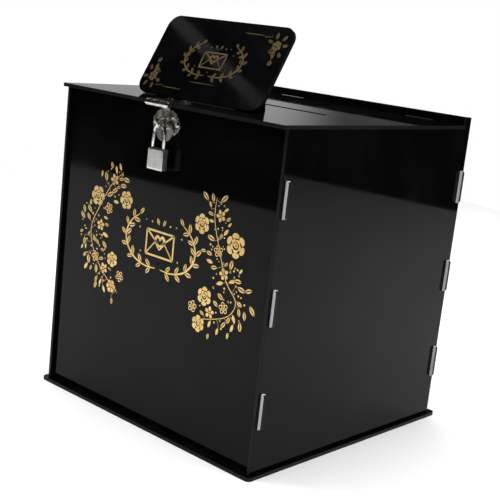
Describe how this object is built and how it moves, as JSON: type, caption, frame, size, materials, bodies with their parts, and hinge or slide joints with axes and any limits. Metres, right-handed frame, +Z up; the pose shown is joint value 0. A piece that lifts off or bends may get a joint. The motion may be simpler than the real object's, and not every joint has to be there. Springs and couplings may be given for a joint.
{
  "type": "wedding card box",
  "caption": "Free-standing black sheet box with a slotted tilting lid, a leaning sign on the lid, and a hasp, staple and small padlock at the front.",
  "frame": {"origin": "underside of the base plate, midway between the side panels' outer faces and their front and rear edges", "axes": "+Z up, -Y towards the hasp and padlock at the front, +X to the right seen from the front"},
  "size_m": [0.257, 0.26, 0.3327],
  "materials": {
    "black_acrylic": "polished cast sheet",
    "gold_foil": "bright foil",
    "nickel": "bright nickel plate",
    "lock_case": "satin nickel plate",
    "lock_steel": "polished steel",
    "plug_brass": "turned brass"
  },
  "bodies": {
    "root": {"base_plate": "black_acrylic", "left_side_panel": "black_acrylic", "right_side_panel": "black_acrylic", "front_panel": "black_acrylic", "back_panel": "black_acrylic", "staple_plate": "nickel", "staple_loop": "nickel", "staple_screws": "nickel", "staple_nuts": "nickel"},
    "lid": {"lid_panel": "black_acrylic", "sign_plate": "black_acrylic", "sign_left_foot": "black_acrylic", "sign_right_foot": "black_acrylic", "hasp_leaf": "nickel", "hasp_pin": "nickel", "hasp_leaf_screws": "nickel", "hasp_leaf_nuts": "nickel"},
    "strap": {"hasp_strap": "nickel"},
    "shackle": {"padlock_shackle": "lock_steel"},
    "padlock": {"padlock_body": "lock_case", "padlock_channel_plug": "lock_case", "padlock_heel_pin": "lock_steel", "padlock_plug_pin": "lock_steel"},
    "plug": {"padlock_plug": "plug_brass"},
    "latch": {"padlock_latch": "lock_steel"}
  },
  "joints": [
    {"name": "lid_tilt", "type": "hinge", "parent": "root", "child": "lid", "pos_m": [0, 0.1145, 0.267], "axis": [-1, 0, 0], "range_deg": [0, 45]},
    {"name": "hasp_swing", "type": "hinge", "parent": "lid", "child": "strap", "pos_m": [-0.002, -0.1289, 0.2654], "axis": [-1, 0, 0], "range_deg": [0, 90]},
    {"name": "padlock_swing", "type": "hinge", "parent": "root", "child": "shackle", "pos_m": [-0.002, -0.1245, 0.2489], "axis": [-1, 0, 0], "range_deg": [0, 75]},
    {"name": "shackle_release", "type": "slide", "parent": "shackle", "child": "padlock", "axis": [0, 0, -1], "range_m": [0, 0.0046]},
    {"name": "plug_turn", "type": "hinge", "parent": "padlock", "child": "plug", "pos_m": [-0.002, -0.1245, 0.2185], "axis": [0, 0, 1], "range_deg": [0, 90]},
    {"name": "latch_slide", "type": "slide", "parent": "padlock", "child": "latch", "axis": [-1, 0, 0], "range_m": [0, 0.002]}
  ],
  "couplings": [
    {"joint": "hasp_swing", "follows": "lid_tilt", "ratio": 1},
    {"joint": "plug_turn", "follows": "shackle_release", "rad_per_m": 341.48},
    {"joint": "latch_slide", "follows": "shackle_release", "ratio": 0.43478}
  ]
}
